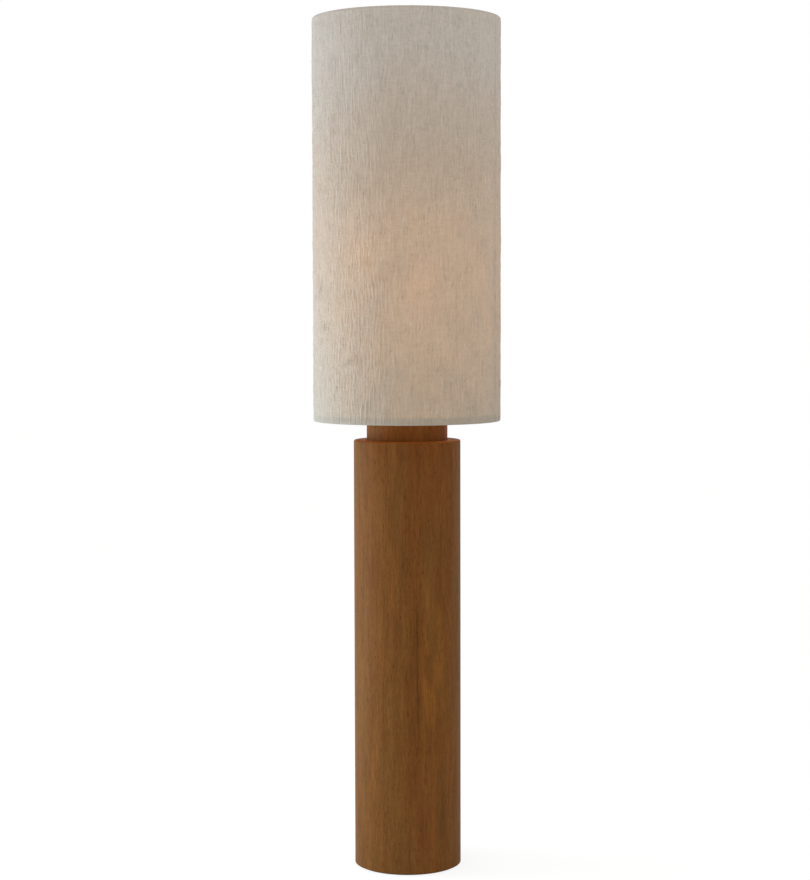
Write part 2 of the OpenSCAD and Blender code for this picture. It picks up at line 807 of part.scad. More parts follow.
// The fabric that turns over a wire ring, in the frame of its end of the shade
module hem() {
    lip = hem_wrap / 2;
    color("#cdc1b0") translate([0, 0, -hem_r]) rotate_extrude() difference() {
        union() {
            translate([ring_r, 0]) circle(r = hem_r);
            translate([ring_r, hem_r - lip]) square([shade_r - fabric_t - fit - ring_r, lip]);
        }
        translate([ring_r, 0]) circle(r = ring_wire_r + fit);
        translate([liner_in_r - fit, -2 * hem_r]) square([hem_r, 3 * hem_r - lip]);
    }
}

// Turns a shape of the shade's top end over, for its bottom end
module at_bottom() {
    translate([0, 0, shade_z]) mirror([0, 0, 1]) children();
}

module spider_hub() {
    color("silver") translate([0, 0, hub_z - spider_hub_t])
        tube(spider_hub_d / 2, stud_d / 2 + run_gap, spider_hub_t);
}

module spider_arms() {
    start = spider_hub_d / 2 + weld;
    level = hub_z - spider_hub_t / 2;
    stop = hem_r + weld;
    height = total_h - hem_r - level - stop * sin(spider_slope);
    rise = (height - spider_bend * (1 - cos(spider_slope))) / sin(spider_slope);
    run = ring_r - (stop + rise) * cos(spider_slope) - spider_bend * sin(spider_slope) - start;
    color("silver") around(spider_arm_count, 90) translate([start, 0, level])
        bent_rod(spider_wire_d / 2, run, spider_bend, spider_slope, rise);
}

module finial() {
    base_r = finial_d * 0.32;
    neck_in = finial_d * 0.2;
    ball_r = finial_d / 2;
    bore = stud_d / 2 + fit / 2;
    depth = stud_l - spider_hub_t - 2 * run_gap + 1;
    lift = finial_h - ball_r;
    color("darkgoldenrod") translate([0, 0, hub_z + run_gap]) difference() {
        rotate_extrude() polygon(concat(
            [[0, 0], [base_r, 0], [base_r, 2], [bore + 1.5, 3.5], [bore + 1.5, lift - ball_r * 0.9]],
            [for (a = [-50 : 10 : 90]) [ball_r * cos(a), lift + ball_r * sin(a)]]));
        translate([0, 0, -cut]) cylinder(r = bore, h = depth + cut);
    }
}

// ---------------------------------------------------------------- nodes

column_tube();
column_top();
column_base();
ballast();
ballast_screws();
base_felt();
cord_bushing();
terminal_block();
terminal_screws();
riser_lead();
lead_clips();
neck();
stem_pipe();
stem_washer();
stem_nut();
neck_plate();
stem_sleeve();
cluster_body();
cluster_cover();
cover_screws();
cluster_nut();
wire_nuts();
splice_wires();
socket_arm(1);  // socket_arm_1
socket_arm(2);  // socket_arm_2
socket_lead(1);  // socket_lead_1
socket_lead(2);  // socket_lead_2
socket_cap(1);  // socket_cap_1
socket_cap(2);  // socket_cap_2
socket_shell(1);  // socket_shell_1
socket_shell(2);  // socket_shell_2
socket_liner(1);  // socket_liner_1
socket_liner(2);  // socket_liner_2
socket_core(1);  // socket_core_1
socket_core(2);  // socket_core_2
screw_shell(1);  // screw_shell_1
screw_shell(2);  // screw_shell_2
socket_contacts();
chain_guide(1);  // chain_guide_1
chain_guide(2);  // chain_guide_2
pull_chain(1);  // pull_chain_1
pull_chain(2);  // pull_chain_2
pull_knob(1);  // pull_knob_1
pull_knob(2);  // pull_knob_2
bulb_glass(1);  // bulb_glass_1
bulb_glass(2);  // bulb_glass_2
bulb_cap(1);  // bulb_cap_1
bulb_cap(2);  // bulb_cap_2
upper_rod();
seat_collar();
shade_fabric();
shade_liner();
translate([0, 0, total_h]) wire_ring();  // top_ring
at_bottom() wire_ring();  // bottom_ring
translate([0, 0, total_h]) hem();  // top_hem
at_bottom() hem();  // bottom_hem
spider_hub();
spider_arms();
finial();
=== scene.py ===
"""Column floor lamp: the finishes of its CAD pieces, the pieces that are modelled here, and the studio.

Lengths are in metres, +Z is up and the front looks towards -Y. Angles round the stem are measured
from the front, positive towards +X.
"""

import json
import logging
import math
from collections.abc import Sequence
from dataclasses import dataclass, field
from enum import Enum
from typing import Any

import bmesh
import bpy
import numpy as np
from mathutils import Euler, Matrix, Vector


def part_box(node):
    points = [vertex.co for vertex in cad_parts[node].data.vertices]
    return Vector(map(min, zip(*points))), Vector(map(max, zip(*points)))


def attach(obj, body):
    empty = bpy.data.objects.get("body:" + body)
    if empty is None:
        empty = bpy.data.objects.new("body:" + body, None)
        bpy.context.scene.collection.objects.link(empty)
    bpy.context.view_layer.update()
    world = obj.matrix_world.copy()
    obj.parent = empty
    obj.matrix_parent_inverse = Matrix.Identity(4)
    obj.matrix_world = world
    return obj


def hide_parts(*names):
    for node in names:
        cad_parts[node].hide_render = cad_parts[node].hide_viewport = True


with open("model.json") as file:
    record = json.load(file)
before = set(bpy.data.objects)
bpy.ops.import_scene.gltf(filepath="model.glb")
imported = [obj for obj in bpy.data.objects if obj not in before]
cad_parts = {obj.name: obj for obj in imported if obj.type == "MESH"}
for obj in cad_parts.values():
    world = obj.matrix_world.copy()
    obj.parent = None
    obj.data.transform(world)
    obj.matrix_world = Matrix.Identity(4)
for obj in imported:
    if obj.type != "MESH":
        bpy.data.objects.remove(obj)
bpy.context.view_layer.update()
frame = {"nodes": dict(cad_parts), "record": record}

MM = 0.001
FULL_TURN = 2 * math.pi
WARM = (1.0, 0.45, 0.14)

Colour = tuple[float, float, float]
Point = tuple[float, float, float]
Section = list[tuple[float, float]]

logging.basicConfig(level=logging.INFO, format="%(message)s")
log = logging.getLogger("floor_lamp")


# ---------------------------------------------------------------- shader expressions


class Wire:
    """A shader output in an expression: arithmetic on it adds Math nodes to its material."""

    def __init__(self, shader: "Shader", socket: bpy.types.NodeSocket) -> None:
        """Keeps the output and the shader that it belongs to."""
        self.shader = shader
        self.socket = socket

    def __add__(self, other: "Number") -> "Wire":
        """Adds a number."""
        return self.shader.math("ADD", self, other)

    def __radd__(self, other: "Number") -> "Wire":
        """Adds to a number."""
        return self.shader.math("ADD", other, self)

    def __sub__(self, other: "Number") -> "Wire":
        """Takes a number away."""
        return self.shader.math("SUBTRACT", self, other)

    def __rsub__(self, other: "Number") -> "Wire":
        """Is taken away from a number."""
        return self.shader.math("SUBTRACT", other, self)

    def __mul__(self, other: "Number") -> "Wire":
        """Multiplies by a number."""
        return self.shader.math("MULTIPLY", self, other)

    def __rmul__(self, other: "Number") -> "Wire":
        """Multiplies a number."""
        return self.shader.math("MULTIPLY", other, self)

    def __truediv__(self, other: "Number") -> "Wire":
        """Divides by a number."""
        return self.shader.math("DIVIDE", self, other)

    def __abs__(self) -> "Wire":
        """Drops the sign."""
        return self.shader.math("ABSOLUTE", self)


Number = Wire | float


class Shader:
    """The nodes of a material or a world under construction."""

    def __init__(self, owner: bpy.types.Material | bpy.types.World) -> None:
        """Empties the owner's nodes.

        Args:
            owner: The material or the world.
        """
        self.owner = owner
        owner.use_nodes = True
        self.tree = owner.node_tree
        self.tree.nodes.clear()

    @classmethod
    def material(cls, name: str) -> "Shader":
        """Starts a new material of that name."""
        return cls(bpy.data.materials.new(name))

    def node(
        self,
        kind: str,
        settings: dict[str, Any] | None = None,
        sockets: dict[int | str, Any] | None = None,
        out: int | str = 0,
    ) -> Wire:
        """Adds a node.

        Args:
            kind: The node's type.
            settings: Its settings by name. A ramp's stops are (place, colour) pairs.
            sockets: Values or wires by the name or number of the input.
            out: The name or number of the output.

        Returns:
            That output.
        """
        made = self.tree.nodes.new(kind)
        for name, value in (settings or {}).items():
            if name == "stops":
                self._set_stops(made.color_ramp, value)
            else:
                setattr(made, name, value)
        for key, value in (sockets or {}).items():
            socket = made.inputs[key]
            if isinstance(value, Wire):
                self.tree.links.new(value.socket, socket)
            else:
                socket.default_value = (*value, 1.0) if socket.type == "RGBA" else value
        return Wire(self, made.outputs[out])

    @staticmethod
    def _set_stops(ramp: bpy.types.ColorRamp, stops: Sequence[tuple[float, Colour]]) -> None:
        """Gives a ramp its stops.

        Args:
            ramp: A new ramp, which has two stops.
            stops: Each stop's place and colour, two or more.
        """
        for _ in stops[2:]:
            ramp.elements.new(0.5)
        for element, (place, _) in zip(ramp.elements, stops):
            element.position = place
        for element, (_, colour) in zip(ramp.elements, stops):
            element.color = (*colour, 1.0)

    def math(self, operation: str, *values: Number) -> Wire:
        """Adds a Math node on one, two or three numbers."""
        return self.node("ShaderNodeMath", {"operation": operation}, dict(enumerate(values)))

    def place(self) -> tuple[Wire, Wire, Wire]:
        """Finds the shaded point on its piece at rest.

        Returns:
            Its X, Y and Z.
        """
        point = self.node("ShaderNodeTexCoord", out="Object")
        split = self.node("ShaderNodeSeparateXYZ", sockets={0: point})
        x, y, z = (Wire(self, socket) for socket in split.socket.node.outputs)
        return x, y, z

    def point(self, x: Number, y: Number, z: Number) -> Wire:
        """Joins three numbers to a vector."""
        return self.node("ShaderNodeCombineXYZ", None, {0: x, 1: y, 2: z})

    def turn(self, x: Wire, y: Wire) -> Wire:
        """The angle of a point round the stem, from the front."""
        return self.math("ARCTAN2", x, y * -1.0)

    def noise(self, at: Wire, sizes: Point, detail: float = 2.0, roughness: float = 0.5) -> Wire:
        """Adds smooth noise from 0 to 1.

        Args:
            at: The place, in metres.
            sizes: The noise's size along each axis, in metres.
            detail: How many finer layers lie on it.
            roughness: How strong each finer layer is.

        Returns:
            The noise.
        """
        scale = tuple(1 / size for size in sizes)
        scaled = self.node("ShaderNodeVectorMath", {"operation": "MULTIPLY"}, {0: at, 1: scale})
        fixed = {"Vector": scaled, "Scale": 1.0, "Detail": detail, "Roughness": roughness}
        return self.node("ShaderNodeTexNoise", None, fixed)

    def step(self, value: Wire, low: float, high: float) -> Wire:
        """Rises smoothly from 0 at low to 1 at high, or falls where low is above high."""
        sockets = {"Value": value, "From Min": low, "From Max": high}
        return self.node("ShaderNodeMapRange", {"interpolation_type": "SMOOTHSTEP"}, sockets)

    def bell(self, value: Wire, middle: float, half_width: float) -> Wire:
        """Is 1 at the middle and falls smoothly, to a half one half-width away."""
        off = (value - middle) / half_width
        return self.math("POWER", 0.5, off * off)

    def mix(self, share: Number, a: "Tint", b: "Tint", how: str = "MIX") -> Wire:
        """Adds a Mix node on colours.

        Args:
            share: How much of b there is.
            a: The first colour.
            b: The second colour.
            how: The way of mixing.

        Returns:
            The mixed colour.
        """
        settings = {"data_type": "RGBA", "blend_type": how}
        return self.node("ShaderNodeMix", settings, {0: share, 6: a, 7: b}, out=2)

    def shade(self, colour: "Tint", value: Wire) -> Wire:
        """Multiplies a colour by a number."""
        return self.mix(1.0, colour, self.point(value, value, value), "MULTIPLY")

    def bump(self, height: Wire, depth: float) -> Wire:
        """Turns a height from 0 to 1 into a normal, with the depth that 1 stands for in metres."""
        return self.node("ShaderNodeBump", None, {"Distance": depth, "Height": height}, "Normal")

    def skin(self, fixed: dict[str, Any], **varying: "Tint") -> bpy.types.Material:
        """Ends the material with a Principled surface.

        Args:
            fixed: Constants, set on the surface's own sockets by name.
            **varying: What changes over the surface, by the socket's name with _ for a space.

        Returns:
            The material.
        """
        sockets = {name.replace("_", " "): value for name, value in varying.items()}
        surface = self.node("ShaderNodeBsdfPrincipled", None, {**sockets, **fixed})
        return self.finish(surface)

    def finish(self, surface: Wire) -> bpy.types.Material | bpy.types.World:
        """Joins a surface to the output.

        Args:
            surface: The surface, or a world's background.

        Returns:
            The material or the world.
        """
        kind = "World" if isinstance(self.owner, bpy.types.World) else "Material"
        output = self.tree.nodes.new(f"ShaderNodeOutput{kind}")
        self.tree.links.new(surface.socket, output.inputs["Surface"])
        return self.owner


Tint = Wire | Colour


# ---------------------------------------------------------------- finishes


@dataclass(frozen=True)
class Finish:
    """A finish: make() writes its material."""

    name: str

    def make(self) -> bpy.types.Material:
        """Writes the material."""
        raise NotImplementedError


@dataclass(frozen=True)
class Veneer(Finish):
    """Walnut veneer with a matt oil finish, its grain upright on the sides and across on flats."""

    olive: Colour = (0.134, 0.0555, 0.0145)
    russet: Colour = (0.136, 0.0510, 0.0124)
    pore: Colour = (0.055, 0.018, 0.004)
    amber: Colour = (0.250, 0.096, 0.016)
    # The dark line on the column's front: its angle, its lean in radians a metre, and its two ends
    line_angle: float = math.radians(9.5)
    line_lean: float = 0.14
    line_low: float = 0.225
    line_high: float = 0.525
    # The amber patch to the right of it: its middle's height, half of its own, and its strength
    patch_z: float = 0.395
    patch_half: float = 0.10
    patch_share: float = 0.55
    relief: float = 0.00022

    def make(self) -> bpy.types.Material:
        """Writes the material.

        Returns:
            The material.
        """
        s = Shader.material(self.name)
        x, y, z = s.place()
        normal = s.node("ShaderNodeNewGeometry", out="Normal")
        up = s.step(abs(s.node("ShaderNodeSeparateXYZ", sockets={0: normal}, out=2)), 0.75, 0.95)
        sway = (s.noise(s.point(x, y, z), (0.07, 0.07, 0.16), 2.0) - 0.5) * 0.016
        upright = s.point(x + sway, y + sway, z)
        across = s.point(z, y + sway, x)
        grain = s.node("ShaderNodeMix", {"data_type": "VECTOR"}, {0: up, 4: upright, 5: across}, 1)

        band = s.noise(grain, (0.040, 0.040, 0.42), 3.0, 0.6)
        tone = s.noise(grain, (0.014, 0.014, 0.15), 3.0, 0.6)
        streaks = s.noise(grain, (0.0040, 0.0040, 0.070), 3.0, 0.7)
        fibres = s.noise(grain, (0.0022, 0.0022, 0.018), 3.0, 0.7)
        flecks = s.step(s.noise(grain, (0.0022, 0.0022, 0.011), 2.0), 0.58, 0.70)
        pores = s.step(s.noise(grain, (0.0006, 0.0006, 0.006), 1.0), 0.60, 0.70)

        wood = s.mix(s.step(band, 0.38, 0.62), self.olive, self.russet)
        lift = 1 + (tone - 0.5) * 0.70 + (streaks - 0.5) * 0.62 + (fibres - 0.5) * 0.70
        wood = s.shade(wood, lift)
        wood = s.mix(self._figure(s, x, y, z), wood, self.amber)
        wood = s.mix(flecks * 0.42, wood, self.pore)
        wood = s.mix(pores * 0.30, wood, self.pore)
        wood = s.mix(self._line(s, x, y, z, streaks) * 0.62, wood, self.pore)
        satin = 0.46 + flecks * 0.12 + (streaks - 0.5) * 0.16
        height = fibres * 0.5 - pores * 0.5 - flecks * 0.5 + streaks * 0.3
        return s.skin(
            {"Specular IOR Level": 0.02},
            Base_Color=wood,
            Roughness=satin,
            Normal=s.bump(height, self.relief),
        )

    def _line(self, s: Shader, x: Wire, y: Wire, z: Wire, streaks: Wire) -> Wire:
        """Masks the broken dark line, which leans a little to the right as it falls.

        Args:
            s: The veneer's nodes.
            x: The point's X.
            y: Its Y.
            z: Its Z.
            streaks: The grain that breaks the line.

        Returns:
            The mask, from 0 to 1.
        """
        wander = (s.noise(s.point(x, y, z), (0.5, 0.5, 0.055), 2.0) - 0.5) * 0.07
        off = s.turn(x, y) - (self.line_angle + (self.line_high - z) * self.line_lean + wander)
        rise = s.step(z, self.line_low, self.line_low + 0.08)
        fall = s.step(z, self.line_high, self.line_high - 0.05)
        broken = s.step(streaks, 0.36, 0.56)
        core = s.bell(off, 0.0, 0.010)
        haze = s.bell(off, -0.05, 0.075) * 0.30
        return s.math("MINIMUM", (core * (0.45 + broken * 0.55) + haze) * rise * fall, 1.0)

    def _figure(self, s: Shader, x: Wire, y: Wire, z: Wire) -> Wire:
        """Masks the amber patch to the right of that line.

        Args:
            s: The veneer's nodes.
            x: The point's X.
            y: Its Y.
            z: Its Z.

        Returns:
            The mask, from 0 to the patch's strength.
        """
        turn = s.turn(x, y)
        side = s.step(turn, self.line_angle + 0.02, self.line_angle + 0.16) * s.step(turn, 0.95, 0.45)
        blot = s.step(s.noise(s.point(x, y, z), (0.018, 0.018, 0.10), 3.0), 0.36, 0.64)
        return side * s.bell(z, self.patch_z, self.patch_half) * blot * self.patch_share


@dataclass(frozen=True)
class Linen(Finish):
    """Crinkled slub linen over a stiff lining, with the bulbs' glow through it painted as emission, and
    painted light and shade in its colour.
    """

    # The cloth's colour from foot to top, by the share of its height. It paints light: darker and warmer
    # below, paler and cooler at the top
    painted_light_tones: tuple[tuple[float, Colour], ...] = (
        (0.06, (0.330, 0.290, 0.235)),
        (0.21, (0.362, 0.307, 0.244)),
        (0.42, (0.404, 0.326, 0.254)),
        (0.66, (0.452, 0.366, 0.287)),
        (0.90, (0.474, 0.416, 0.357)),
    )
    # Painted shade: the colour that the rolled hems and the seam's groove are darkened towards
    hem_and_seam_shade: Colour = (0.22, 0.17, 0.12)
    glow: Colour = (0.142, 0.063, 0.019)
    glow_z: float = 1.12
    glow_up: float = 0.125
    glow_down: float = 0.45
    # The glow is strongest at this angle, and at the far side it is weaker by this share
    glow_angle: float = math.radians(6)
    glow_fade: float = 1.0
    hem: float = 0.014
    seam_angle: float = math.radians(68.5)
    seam_lap: float = 0.012
    relief: float = 0.0028

    def make(self) -> bpy.types.Material:
        """Writes the material.

        Returns:
            The material.
        """
        s = Shader.material(self.name)
        x, y, z = s.place()
        at = s.point(x, y, z)
        low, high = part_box("shade_fabric")
        drift = s.noise(at, (0.045, 0.045, 0.075), 4.0, 0.6)
        level = z + (drift - 0.5) * 0.11
        share = (level - low.z) / (high.z - low.z)
        # Painted light: this ramp darkens and warms the cloth towards its foot
        cloth = s.node("ShaderNodeValToRGB", {"stops": self.painted_light_tones}, {0: share})

        warp = s.noise(at, (0.0040, 0.0040, 0.055), 3.0, 0.65)
        ribs = s.noise(at, (0.0026, 0.0026, 0.036), 2.0, 0.6)
        weft = s.noise(at, (0.030, 0.030, 0.0030), 3.0, 0.6)
        slub = s.noise(at, (0.0013, 0.0013, 0.012), 1.0)
        thread = s.noise(at, (0.012, 0.012, 0.0013), 1.0)
        crease = s.noise(at, (0.0050, 0.0050, 0.010), 3.0, 0.60)
        lift = 1 + (warp - 0.5) * 0.24 + (ribs - 0.5) * 0.24 + (weft - 0.5) * 0.12
        lift += (slub - 0.5) * 0.22 + (thread - 0.5) * 0.26
        cloth = s.shade(cloth, lift)

        foot = s.step(z, low.z + self.hem + 0.003, low.z + self.hem - 0.004)
        head = s.step(z, high.z - 0.006, high.z - 0.002)
        solid = s.math("MAXIMUM", foot, head)
        turn = s.turn(x, y)
        behind = (self.seam_angle - turn) * high.x
        seam = s.bell(behind, 0.0, 0.0011)
        lap = s.step(behind, -0.001, 0.001) * s.step(behind, self.seam_lap + 0.002, self.seam_lap)
        # Painted shade: the rolled hems and the seam's groove are darkened
        cloth = s.mix(solid * 0.10 + seam * 0.45, cloth, self.hem_and_seam_shade)

        # Painted light: the bulbs' glow through the cloth is painted as its emission, on the outside, round
        # the bulbs' height
        outside = s.step(s.math("SQRT", x * x + y * y), high.x - 0.0008, high.x - 0.0006)
        rise = s.bell(s.math("MAXIMUM", level, self.glow_z), self.glow_z, self.glow_up)
        fall = s.bell(s.math("MINIMUM", level, self.glow_z), self.glow_z, self.glow_down)
        patch = s.noise(at, (0.075, 0.075, 0.11), 2.0)
        # The painted glow comes and goes in blotches
        glow_blotches = 1 + (patch - 0.5) * 1.3 + (drift - 0.5) * 0.4
        glow_blotches = glow_blotches + (warp - 0.5) * 0.3 + (ribs - 0.5) * 0.4 + (weft - 0.5) * 0.3
        around = (1 - self.glow_fade / 2) + s.math("COSINE", turn - self.glow_angle) * (self.glow_fade / 2)
        lit = rise * fall * around * outside * glow_blotches
        lit = lit * (1 - solid * 0.7) * (1 - lap * 0.35) * (1 - seam * 0.8)
        height = crease * 0.20 + ribs * 0.90 + slub * 0.30 + thread * 0.20
        return s.skin(
            {
                "Specular IOR Level": 0.10,
                "Sheen Weight": 0.14,
                "Sheen Roughness": 0.5,
                "Sheen Tint": (0.90, 0.96, 1.0),
                "Emission Strength": 1.0,
            },
            Base_Color=cloth,
            Roughness=0.86 + (slub - 0.5) * 0.1,
            Emission_Color=s.shade(self.glow, lit),
            Normal=s.bump(height, self.relief),
        )


class Brushing(Enum):
    """Which way the marks on a metal run."""

    AROUND = (0.012, 0.012, 0.0004)
    ALONG = (0.0005, 0.0005, 0.020)
    CAST = (0.0016, 0.0016, 0.0016)


@dataclass(frozen=True)
class Metal(Finish):
    """A metal with fine marks, cloudy patches and a little dullness."""

    colour: Colour = (0.6, 0.6, 0.6)
    dull: Colour = (0.4, 0.4, 0.4)
    roughness: float = 0.3
    marks: Brushing = Brushing.AROUND
    depth: float = 0.00004

    def make(self) -> bpy.types.Material:
        """Writes the material.

        Returns:
            The material.
        """
        s = Shader.material(self.name)
        at = s.point(*s.place())
        fine = s.noise(at, self.marks.value, 2.0, 0.6)
        cloud = s.noise(at, (0.010, 0.010, 0.014), 4.0, 0.6)
        spots = s.step(s.noise(at, (0.0022, 0.0022, 0.0022), 2.0), 0.64, 0.72)
        tone = s.mix(s.step(cloud, 0.38, 0.68) * 0.75, self.colour, self.dull)
        tone = s.mix(spots * 0.35, tone, self.dull)
        tone = s.shade(tone, 1 + (fine - 0.5) * 0.24)
        rough = self.roughness + (fine - 0.5) * 0.16 + (cloud - 0.5) * 0.20 + spots * 0.12
        return s.skin(
            {"Metallic": 1.0},
            Base_Color=tone,
            Roughness=rough,
            Normal=s.bump(fine, self.depth),
        )


@dataclass(frozen=True)
class Plain(Finish):
    """A moulded, cast, pressed or fibrous stuff with mottling and a surface grain."""

    colour: Colour = (0.5, 0.5, 0.5)
    mottle: Colour = (0.4, 0.4, 0.4)
    roughness: float = 0.5
    patch: Point = (0.020, 0.020, 0.020)
    grain: Point = (0.0006, 0.0006, 0.0006)
    contrast: float = 0.15
    depth: float = 0.00008
    sheen: float = 0.0
    shine: float = 0.5

    def make(self) -> bpy.types.Material:
        """Writes the material.

        Returns:
            The material.
        """
        s = Shader.material(self.name)
        at = s.point(*s.place())
        patch = s.noise(at, self.patch, 3.0, 0.6)
        grain = s.noise(at, self.grain, 2.0, 0.6)
        tone = s.mix(s.step(patch, 0.35, 0.68), self.colour, self.mottle)
        tone = s.shade(tone, 1 + (grain - 0.5) * 2 * self.contrast)
        rough = self.roughness + (patch - 0.5) * 0.12 + (grain - 0.5) * 0.12
        return s.skin(
            {"Specular IOR Level": self.shine, "Sheen Weight": self.sheen},
            Base_Color=tone,
            Roughness=rough,
            Normal=s.bump(grain, self.depth),
        )


@dataclass(frozen=True)
class LitGlass(Finish):
    """A frosted bulb that is lit: brightest round its belly and dimmer towards its neck."""

    frost: Colour = (0.46, 0.42, 0.36)
    belly: Colour = (0.62, 0.44, 0.22)
    neck: Colour = (0.34, 0.16, 0.05)

    def make(self) -> bpy.types.Material:
        """Writes the material.

        Returns:
            The material.
        """
        s = Shader.material(self.name)
        x, y, z = s.place()
        low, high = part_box("bulb_glass_1")
        share = s.step(z, low.z, low.z + 0.6 * (high.z - low.z))
        mist = s.noise(s.point(x, y, z), (0.004, 0.004, 0.004), 3.0, 0.6)
        light = s.shade(s.mix(share, self.neck, self.belly), 0.94 + mist * 0.12)
        return s.skin(
            {"Emission Strength": 1.0, "Coat Weight": 0.3, "Coat Roughness": 0.1},
            Base_Color=s.shade(self.frost, 0.92 + mist * 0.16),
            Roughness=0.42 + (mist - 0.5) * 0.2,
            Emission_Color=light,
        )


class Stock(Enum):
    """The finishes by the name of the record's material slot."""

    WALNUT = Veneer("walnut_veneer")
    BOARD = Plain("raw_board", (0.36, 0.23, 0.11), (0.26, 0.15, 0.065), 0.75,
                  patch=(0.05, 0.006, 0.006), grain=(0.006, 0.0005, 0.0005), contrast=0.2,
                  depth=0.0001, shine=0.2)
    IRON = Plain("cast_iron", (0.030, 0.030, 0.032), (0.018, 0.018, 0.020), 0.62,
                 grain=(0.0014, 0.0014, 0.0014), contrast=0.25, depth=0.0005)
    FELT = Plain("felt", (0.012, 0.010, 0.008), (0.007, 0.006, 0.005), 0.95,
                 grain=(0.0005, 0.0018, 0.0005), contrast=0.5, depth=0.0006, sheen=0.4, shine=0.1)
    BLACK_NYLON = Plain("black_nylon", (0.0085, 0.0080, 0.0078), (0.0060, 0.0058, 0.0056), 0.42)
    WHITE_NYLON = Plain("white_nylon", (0.62, 0.60, 0.55), (0.56, 0.54, 0.49), 0.45)
    SHEATH = Plain("lead_sheath", (0.50, 0.47, 0.40), (0.43, 0.40, 0.33), 0.5,
                   grain=(0.0005, 0.0005, 0.01), depth=0.00006)
    ORANGE = Plain("orange_plastic", (0.60, 0.085, 0.006), (0.50, 0.065, 0.005), 0.4)
    FIBRE = Plain("liner_fibre", (0.45, 0.32, 0.16), (0.36, 0.24, 0.11), 0.8,
                  grain=(0.0012, 0.0012, 0.0003), contrast=0.25, shine=0.2)
    PHENOLIC = Plain("phenolic", (0.014, 0.008, 0.006), (0.009, 0.005, 0.004), 0.28,
                     grain=(0.0010, 0.0010, 0.0010), contrast=0.2, depth=0.00003)
    STYRENE = Plain("shade_styrene", (0.74, 0.66, 0.54), (0.68, 0.59, 0.46), 0.5,
                    patch=(0.03, 0.03, 0.20), grain=(0.0010, 0.0010, 0.030), contrast=0.05,
                    depth=0.00006, shine=0.3)
    ZINC = Metal("zinc_steel", (0.60, 0.60, 0.59), (0.42, 0.42, 0.40), 0.36)
    BRASS = Metal("aged_brass", (0.50, 0.31, 0.10), (0.27, 0.15, 0.045), 0.34)
    CHAIN = Metal("chain_brass", (0.58, 0.38, 0.13), (0.34, 0.20, 0.06), 0.26, Brushing.CAST)
    CAP = Metal("cap_aluminium", (0.66, 0.66, 0.65), (0.50, 0.49, 0.47), 0.34)
    NICKEL = Metal("frame_steel", (0.56, 0.54, 0.50), (0.36, 0.34, 0.31), 0.34, Brushing.ALONG)
    GLASS = LitGlass("frosted_glass")
    LINEN = Linen("shade_linen")


class Paintbox:
    """Makes each finish once and puts it on pieces and on CAD nodes."""

    def __init__(self) -> None:
        """Starts with no material made."""
        self.made: dict[str, bpy.types.Material] = {}

    def material(self, finish: Finish) -> bpy.types.Material:
        """Finds a finish's material, and makes it the first time that it is asked for.

        Args:
            finish: The finish.

        Returns:
            Its material.
        """
        if finish.name not in self.made:
            self.made[finish.name] = finish.make()
        return self.made[finish.name]

    def dress_node(self, node: str, slot: str) -> None:
        """Gives a CAD node its finish.

        Args:
            node: The node's name.
            slot: The name of its material slot in the record.
        """
        finish = next(stock.value for stock in Stock if stock.value.name == slot)
        for held in frame["nodes"][node].material_slots:
            held.material = self.material(finish)

    def dress_piece(self, piece: bpy.types.Object, stock: Stock) -> None:
        """Gives a new piece its finish."""
        piece.data.materials.append(self.material(stock.value))


# ---------------------------------------------------------------- meshes


def arc(middle: tuple[float, float], radius: float, start: float, end: float, steps: int) -> Section:
    """Points along an arc of a section.

    Args:
        middle: The arc's centre, as distance from the axis and height.
        radius: Its radius.
        start: The angle of its first point, in degrees, with 0 outwards and 90 up.
        end: The angle of its last point.
        steps: The number of steps between them.

    Returns:
        The points, both ends included.
    """
    angles = np.radians(np.linspace(start, end, steps + 1))
    return [(middle[0] + radius * math.cos(a), middle[1] + radius * math.sin(a)) for a in angles]


def grid_faces(
    columns: int, rows: int, first: int = 0, closed: bool = True
) -> list[tuple[int, int, int, int]]:
    """Quads of a grid of points whose rows close on themselves.

    Args:
        columns: The number of points in a row.
        rows: The number of rows.
        first: The number of the grid's first point.
        closed: Whether the last row also meets the first.

    Returns:
        The quads, which face outwards where the rows climb on the outside.
    """
    faces = []
    for i in range(rows if closed else rows - 1):
        here, above = first + i * columns, first + (i + 1) % rows * columns
        for k in range(columns):
            after = (k + 1) % columns
            faces.append((here + k, here + after, above + after, above + k))
    return faces


def filtered(rng: np.random.Generator, passed: np.ndarray) -> np.ndarray:
    """Makes random heights from some of the frequencies.

    Args:
        rng: The source of the random numbers.
        passed: The share of each frequency that is let through.

    Returns:
        Heights with a spread of 1.
    """
    waves = np.fft.ifft2(np.fft.fft2(rng.standard_normal(passed.shape)) * passed).real
    return waves / waves.std()


def band_noise(
    rng: np.random.Generator,
    shape: tuple[int, int],
    spacing: tuple[float, float],
    pitch: float,
    length: float,
) -> np.ndarray:
    """Upright ridges at random, of one pitch and length.

    Args:
        rng: The source of the random numbers.
        shape: The number of rows and columns.
        spacing: The distance between rows and between columns.
        pitch: The ridges' distance from each other.
        length: Their length.

    Returns:
        Heights with a spread of 1.
    """
    along = np.fft.fftfreq(shape[0], spacing[0])[:, None]
    around = np.abs(np.fft.fftfreq(shape[1], spacing[1]))[None, :]
    spread = 0.35 / pitch
    return filtered(rng, np.exp(-(((around - 1 / pitch) / spread) ** 2) - (along * length) ** 2))


def cloud_noise(
    rng: np.random.Generator,
    shape: tuple[int, int],
    spacing: tuple[float, float],
    sizes: tuple[float, float],
) -> np.ndarray:
    """Smooth random heights.

    Args:
        rng: The source of the random numbers.
        shape: The number of rows and columns.
        spacing: The distance between rows and between columns.
        sizes: The size of a swell along a column and along a row.

    Returns:
        Heights with a spread of 1.
    """
    along = np.fft.fftfreq(shape[0], spacing[0])[:, None] * sizes[0]
    around = np.fft.fftfreq(shape[1], spacing[1])[None, :] * sizes[1]
    return filtered(rng, np.exp(-2 * (along**2 + around**2)))


